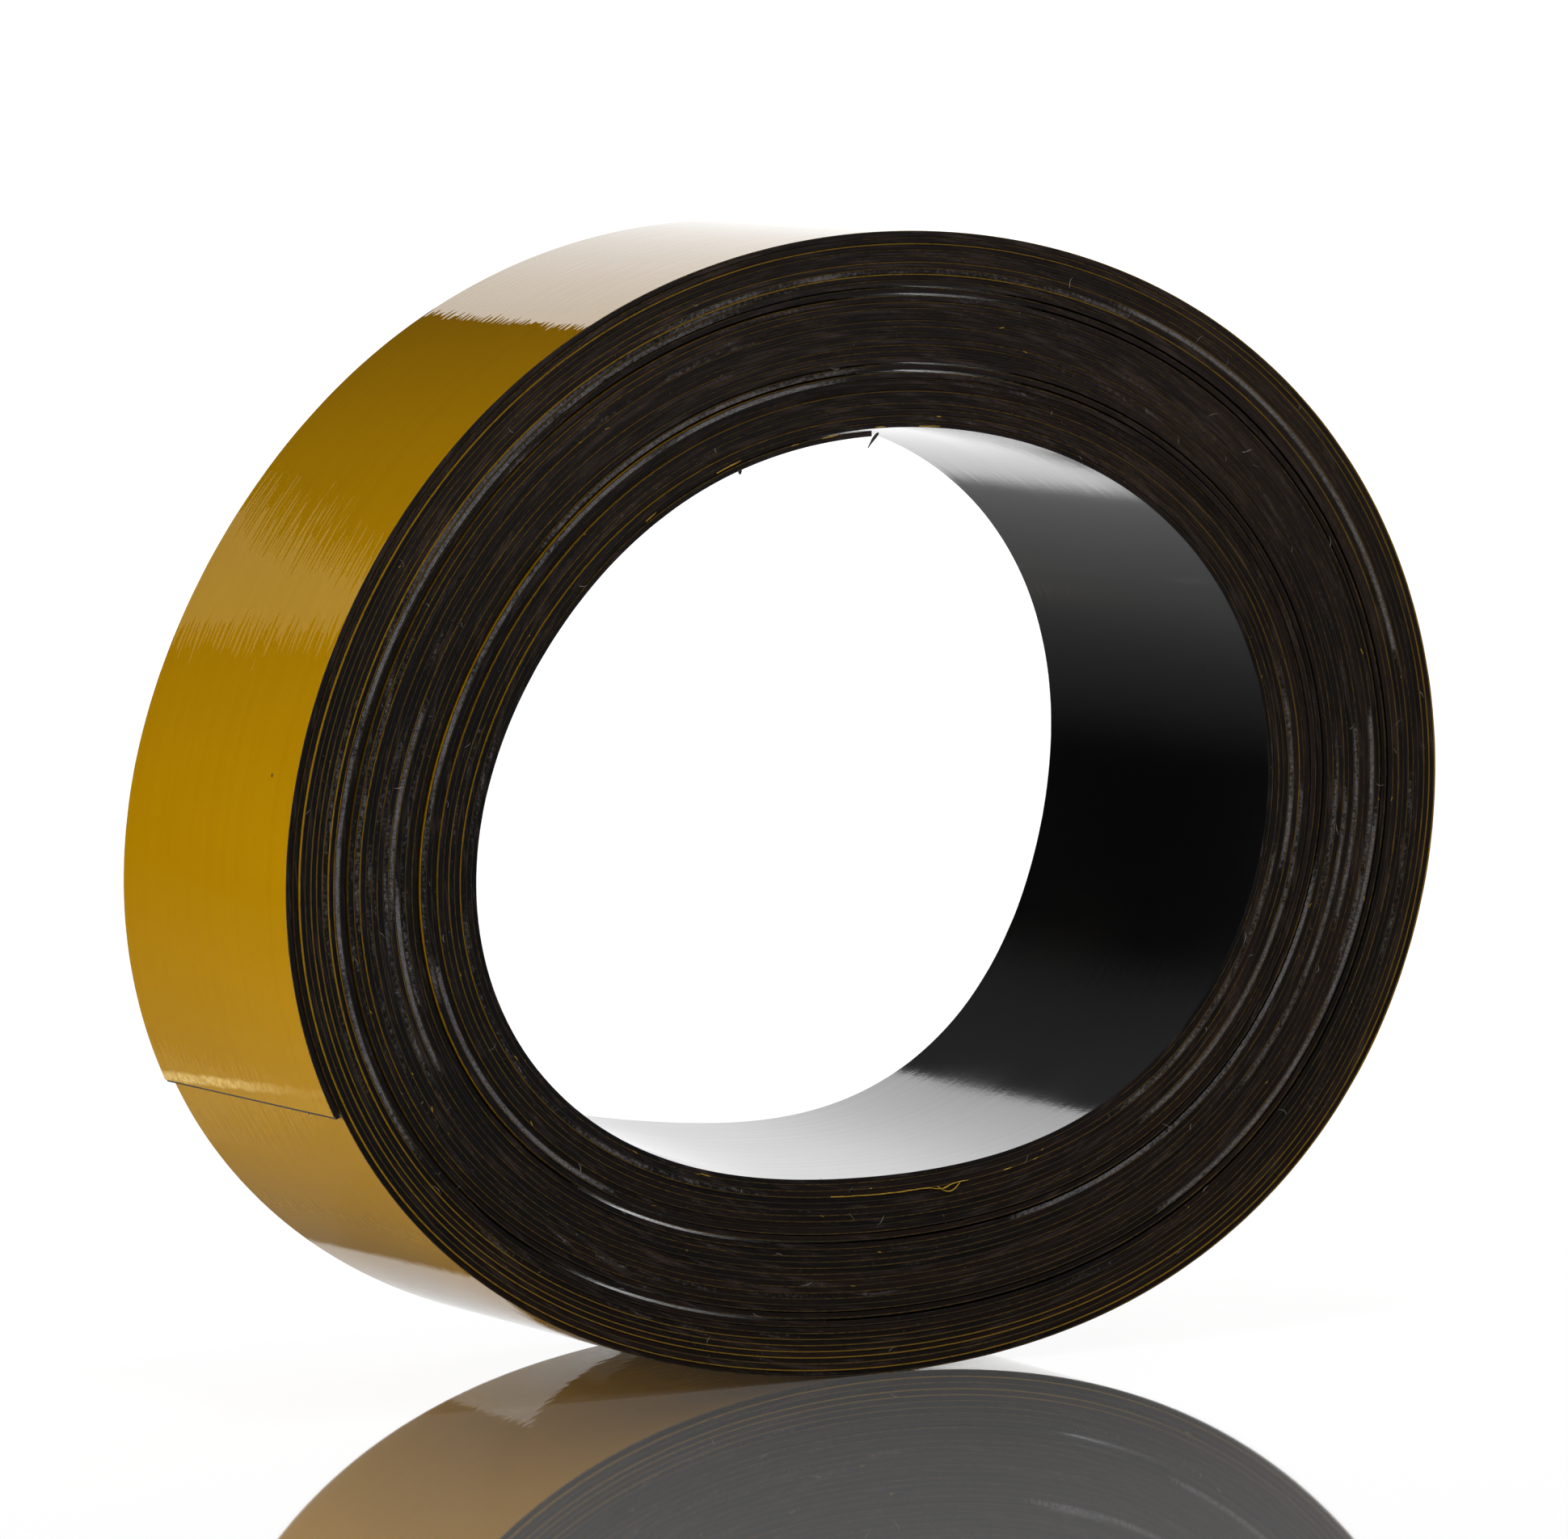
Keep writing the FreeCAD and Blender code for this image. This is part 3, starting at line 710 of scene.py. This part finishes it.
def chip(phi, share, long, wide, thick, turn, rng, film=False):
    """A small torn bit lying flat against the near side."""
    p, t, o, up = spot(phi, share, side_y(phi, film))
    d = t * math.cos(turn) + o * math.sin(turn)
    e = np.cross(d, up)
    rings = []
    n = 6
    for i in range(n):
        f = i / (n - 1)
        w = wide * (0.25 + 0.75 * math.sin(math.pi * (0.12 + 0.76 * f))) * rng.uniform(0.75, 1.15)
        c = p + d * (f - 0.5) * long * MM + e * rng.uniform(-0.12, 0.12) * wide * MM + up * (thick * 0.35 + rng.uniform(0, 0.3) * thick) * MM
        rings.append((c, e * w * 0.5 * MM, up * thick * 0.5 * MM))
    return strand(rings, 6)


rng = np.random.RandomState(11)
bands = (("outer_turns", 1.3, 9.2), ("middle_turns", 9.8, 21.2), ("inner_turns", 22.8, 31.0))
for body, lo, hi in bands:
    hairs, flecks, crumbs = [], [], []
    for k in range(int((hi - lo) * 3.2)):
        hairs.append(fibre(TAU * rng.uniform(lo, hi), rng.uniform(0.05, 0.9), rng.uniform(0, TAU), rng.uniform(0.25, 1.1), rng.uniform(0.010, 0.020),
                           rng.uniform(-1.6, 1.6), rng.uniform(0.0, 0.10), rng))
    for k in range(int((hi - lo) * 1.5)):
        flecks.append(chip(TAU * rng.uniform(lo, hi), rng.uniform(0.7, 0.95), rng.uniform(0.12, 0.5), rng.uniform(0.05, 0.10), 0.03, rng.uniform(-0.5, 0.5), rng))
    for k in range(int((hi - lo) * 9)):
        crumbs.append(chip(TAU * rng.uniform(lo, hi), rng.uniform(0.0, 0.7), rng.uniform(0.08, 0.22), rng.uniform(0.07, 0.14), 0.07, rng.uniform(0, TAU), rng))
    name = body.split("_")[0]
    joined(name + "_lint", hairs, lint, body)
    joined(name + "_film_flecks", flecks, fleck, body)
    joined(name + "_crumbs", crumbs, crumb, body)


def ribbon(phis, shares, ys, half_wide, half_thick):
    """A torn strip of film: follows the winding, edge-on to the near side."""
    rings = []
    for i in range(len(phis)):
        p, t, o, up = spot(phis[i], shares[i], ys[i])
        rings.append((p, o * half_thick[i] * MM, up * half_wide[i] * MM))
    return strand(rings, 8)


# the frayed edge of film low on the inner turns
n = 90
f = np.linspace(0, 1, n)
ph = TAU * (28.845 - 0.062 * f)
wave = noise(f * 12, 0.8, 71) * 0.05 + noise(f * 12, 0.25, 72) * 0.03
sh_ = 0.84 + wave * 0.8 + 0.55 * np.exp(-((f - 0.80) / 0.06) ** 2)
tall = 0.03 + 0.10 * np.clip(np.sin(math.pi * f), 0, 1) ** 0.5 * (1 + 0.7 * noise(f * 12, 0.35, 73))
ys = np.array([side_y(v, False) - 0.4 * w for v, w in zip(ph, tall)])
frays = [ribbon(ph, sh_, ys, np.clip(tall, 0.02, None), 0.035 + 0.02 * np.abs(noise(f * 12, 0.5, 74)))]
ph2 = TAU * np.linspace(28.797, 28.787, 14)
g = np.linspace(0, 1, 14)
frays.append(ribbon(ph2, 0.9 + 1.1 * np.sin(math.pi * g), np.array([side_y(v) - 0.12 for v in ph2]), 0.05 + 0.05 * np.sin(math.pi * g), np.full(14, 0.05)))
for at, ln in ((28.765, 0.8), (28.752, 0.5), (30.90, 0.9), (30.93, 0.5), (29.35, 0.4)):
    frays.append(chip(TAU * at, 0.82, ln, 0.10, 0.05, rng.uniform(-0.15, 0.15), rng, True))
joined("film_frays", frays, fleck, "inner_turns")

# film smeared along the last turn's edge near the inner end
smears = []
for at, ln, wd in ((31.302, 1.5, 0.12), (31.286, 0.7, 0.10)):
    smears.append(chip(TAU * at, 0.86, ln, wd, 0.035, 0.04, rng, True))
joined("inner_end_smears", smears, fleck, "tail_2")
smears = []
for at, ln, wd in ((30.347, 1.9, 0.13), (30.325, 0.9, 0.10), (30.255, 2.4, 0.15), (30.215, 1.2, 0.12)):
    smears.append(chip(TAU * at, 0.20, ln, wd, 0.03, 0.03, rng))
joined("bore_edge_smears", smears, fleck, "inner_turns")

# the splinter left by the cut at the inner end, and a nub further along the same turn
p, t, o, up = spot(END, 0.30, -HALF - 0.02)
tip = p + t * 0.55 * MM + o * 0.10 * MM
end = p - t * 0.55 * MM - o * 1.05 * MM + up * 0.25 * MM
rings = []
for i in range(9):
    f1 = i / 8
    c = tip * (1 - f1) + end * f1 + o * (0.08 * math.sin(math.pi * f1)) * MM
    w = (0.03 + 0.17 * math.sin(math.pi * min(1.0, 0.12 + 0.75 * f1)) ** 1.5 * (1 - f1) + 0.02) * MM
    d = (end - tip) / np.linalg.norm(end - tip)
    rings.append((c, np.cross(d, up) * w, up * w * 0.8))
joined("inner_end_splinter", [strand(rings, 7)], crumb, "tail_2")
p, t, o, up = spot(TAU * 31.259, 0.05, -HALF + 0.05)
rings = []
for i in range(6):
    f1 = i / 5
    w = (0.16 * math.sin(math.pi * (0.25 + 0.72 * f1)) + 0.02) * MM
    rings.append((p + o * (0.08 - 0.42 * f1) * MM - t * 0.12 * f1 * MM, t * w, up * w * 0.8))
joined("bore_nub", [strand(rings, 7)], crumb, "tail_1")

# adhesive scraps at the outer end's edge
scraps = []
for y, ln, wd in ((-7.6, 0.55, 0.35), (-8.6, 0.30, 0.2), (-11.6, 0.50, 0.42), (-12.6, 0.32, 0.22), (3.5, 0.25, 0.2), (-4.2, 0.18, 0.15)):
    p, t, o, up = spot(TAU - 0.004, TOP, y)
    rings = []
    for i in range(6):
        f1 = i / 5
        w = ln * 0.5 * (0.3 + 0.7 * math.sin(math.pi * (0.1 + 0.8 * f1))) * rng.uniform(0.7, 1.2) * MM
        c = p - t * (wd * f1 - 0.05) * MM + o * (0.03 + 0.05 * rng.uniform(0, 1)) * MM
        rings.append((c, up * w, o * 0.035 * MM))
    scraps.append(strand(rings, 7))
joined("outer_end_scraps", scraps, scrap, "outer_turns")


# ------------------------------------------------------------------------------------------------------- stage
def floor_material():
    m, t, sh = new_material("floor_acrylic")
    sh.inputs["Base Color"].default_value = (0.36, 0.36, 0.36, 1)
    sh.inputs["IOR"].default_value = 1.6
    sh.inputs["Roughness"].default_value = 0.03
    sh.inputs["Coat Weight"].default_value = 1.0
    sh.inputs["Coat IOR"].default_value = 1.75
    sh.inputs["Coat Roughness"].default_value = 0.02
    return m


me = bpy.data.meshes.new("floor")
s = 6.0
me.from_pydata([(-s, -s, 0), (s, -s, 0), (s, s, 0), (-s, s, 0)], [], [(0, 1, 2, 3)])
floor = bpy.data.objects.new("floor", me)
scene.collection.objects.link(floor)
me.materials.append(floor_material())


def glow(name, corners, strength, colour=(1, 1, 1, 1)):
    """A lit panel that shines from one side only."""
    me = bpy.data.meshes.new(name)
    me.from_pydata(corners, [], [(0, 1, 2, 3)])
    m = bpy.data.materials.new(name)
    m.use_nodes = True
    t = m.node_tree
    t.nodes.clear()
    out = t.nodes.new("ShaderNodeOutputMaterial")
    em = node(t, "ShaderNodeEmission", Strength=strength)
    em.inputs["Color"].default_value = colour
    clear = t.nodes.new("ShaderNodeBsdfTransparent")
    geo = t.nodes.new("ShaderNodeNewGeometry")
    mx = t.nodes.new("ShaderNodeMixShader")
    t.links.new(geo.outputs["Backfacing"], mx.inputs[0])
    t.links.new(em.outputs[0], mx.inputs[1])
    t.links.new(clear.outputs[0], mx.inputs[2])
    t.links.new(mx.outputs[0], out.inputs[0])
    me.materials.append(m)
    ob = bpy.data.objects.new(name, me)
    scene.collection.objects.link(ob)
    return ob


# the lit backdrop behind the roll, to the right of it; it faces -Y
X0, X1, YB, Z0, Z1 = 0.175, 3.2, 1.10, -0.02, 1.7
glow("backdrop", [(X0, YB, Z0), (X1, YB, Z0), (X1, YB, Z1), (X0, YB, Z1)], 1.25)
# a dim panel further left
glow("dim_panel", [(-0.30, 1.1, 0.17), (-0.07, 1.1, 0.17), (-0.10, 1.1, 0.402), (-0.30, 1.1, 0.368)], 0.42, (1.0, 0.82, 0.42, 1)).visible_camera = False

world = bpy.data.worlds.new("studio")
scene.world = world
world.use_nodes = True
wt = world.node_tree
wt.nodes.clear()
wo = wt.nodes.new("ShaderNodeOutputWorld")
bg = wt.nodes.new("ShaderNodeBackground")
co = wt.nodes.new("ShaderNodeTexCoord")
sep = wt.nodes.new("ShaderNodeSeparateXYZ")
wt.links.new(co.outputs["Generated"], sep.inputs[0])
# light from above and from the camera's side, dark behind to the left
up = between(wt, sep.outputs[2], 0.42, 0.72)
front = between(wt, maths(wt, "MULTIPLY", sep.outputs[1], -1.0), 0.0, 0.6)
lit = maths(wt, "MAXIMUM", maths(wt, "MULTIPLY", up, 0.28), maths(wt, "MULTIPLY", front, 0.22))
lit = maths(wt, "ADD", lit, maths(wt, "MULTIPLY", between(wt, sep.outputs[2], 0.33, 0.43), 0.06))
lit = maths(wt, "ADD", lit, 0.012)
wt.links.new(lit, bg.inputs["Strength"])
wt.links.new(bg.outputs[0], wo.inputs[0])


def area(name, where, aim, size, power, size_y=None):
    ld = bpy.data.lights.new(name, "AREA")
    ld.shape = "RECTANGLE"
    ld.size, ld.size_y = size, size_y or size
    ld.energy = power
    ob = bpy.data.objects.new(name, ld)
    scene.collection.objects.link(ob)
    ob.location = where
    ob.rotation_euler = (Vector(aim) - Vector(where)).to_track_quat("-Z", "Y").to_euler()
    return ob


area("key_left", (-1.0, -0.10, 0.09), (0, 0, 0.04), 0.5, 5.2, 0.17).visible_camera = False
area("low_left", (-0.18, 0.0, 0.013), (0, 0, 0.013), 0.12, 0.108, 0.02).visible_camera = False
# lies on the floor behind the roll and shines up into the bore's top
area("bore_top", (0.158, 0.33, 0.003), (0.158, 0.33, 1.0), 0.21, 0.14, 0.36).visible_camera = False
area("key_front", (0.25, -1.0, 0.9), (0, 0, 0.05), 0.5, 2.6).visible_camera = False
# a soft wash on the floor behind the roll, to the right
ld = bpy.data.lights.new("floor_wash", "SPOT")
ld.energy, ld.spot_size, ld.spot_blend, ld.shadow_soft_size = 40.0, math.radians(15), 1.0, 0.05
ob = bpy.data.objects.new("floor_wash", ld)
scene.collection.objects.link(ob)
ob.location = (0.46, 0.78, 0.40)
ob.rotation_euler = (Vector((0.10, 0.20, 0.0)) - ob.location).to_track_quat("-Z", "Y").to_euler()

# and one on the floor in front of it
ld = bpy.data.lights.new("floor_front", "SPOT")
ld.energy, ld.spot_size, ld.spot_blend, ld.shadow_soft_size = 30.0, math.radians(20), 1.0, 0.15
ob = bpy.data.objects.new("floor_front", ld)
scene.collection.objects.link(ob)
ob.location = (0.0, -0.35, 1.2)
ob.rotation_euler = (Vector((-0.02, -0.14, 0.0)) - ob.location).to_track_quat("-Z", "Y").to_euler()

# ------------------------------------------------------------------------------------------------------ camera
yaw, pitch, roll = 0.3859133, 0.0876582, -0.0490739
fwd = Vector((math.sin(yaw) * math.cos(pitch), math.cos(yaw) * math.cos(pitch), -math.sin(pitch)))
side = Vector((math.cos(yaw), -math.sin(yaw), 0.0))
top = side.cross(fwd)
r2 = math.cos(roll) * side + math.sin(roll) * top
u2 = -math.sin(roll) * side + math.cos(roll) * top
T = Vector((0.1500556, 0.0720062, math.exp(3.1668422)))
C = -(r2 * T[0] + (-u2) * T[1] + fwd * T[2])
cam_data = bpy.data.cameras.new("camera")
cam_data.lens = 17612.68 / 1940 * 36
cam_data.sensor_width = 36
cam_data.clip_start = 0.01
cam_data.clip_end = 100
cam = bpy.data.objects.new("camera", cam_data)
scene.collection.objects.link(cam)
M = Matrix((r2, u2, -fwd)).transposed().to_4x4()
M.translation = Vector((C[0] * 50 + ACROSS, C[1] * 50 - HALF, C[2] * 50 + UP)) * MM
cam.matrix_world = M
scene.camera = cam

scene.view_settings.view_transform = "Standard"
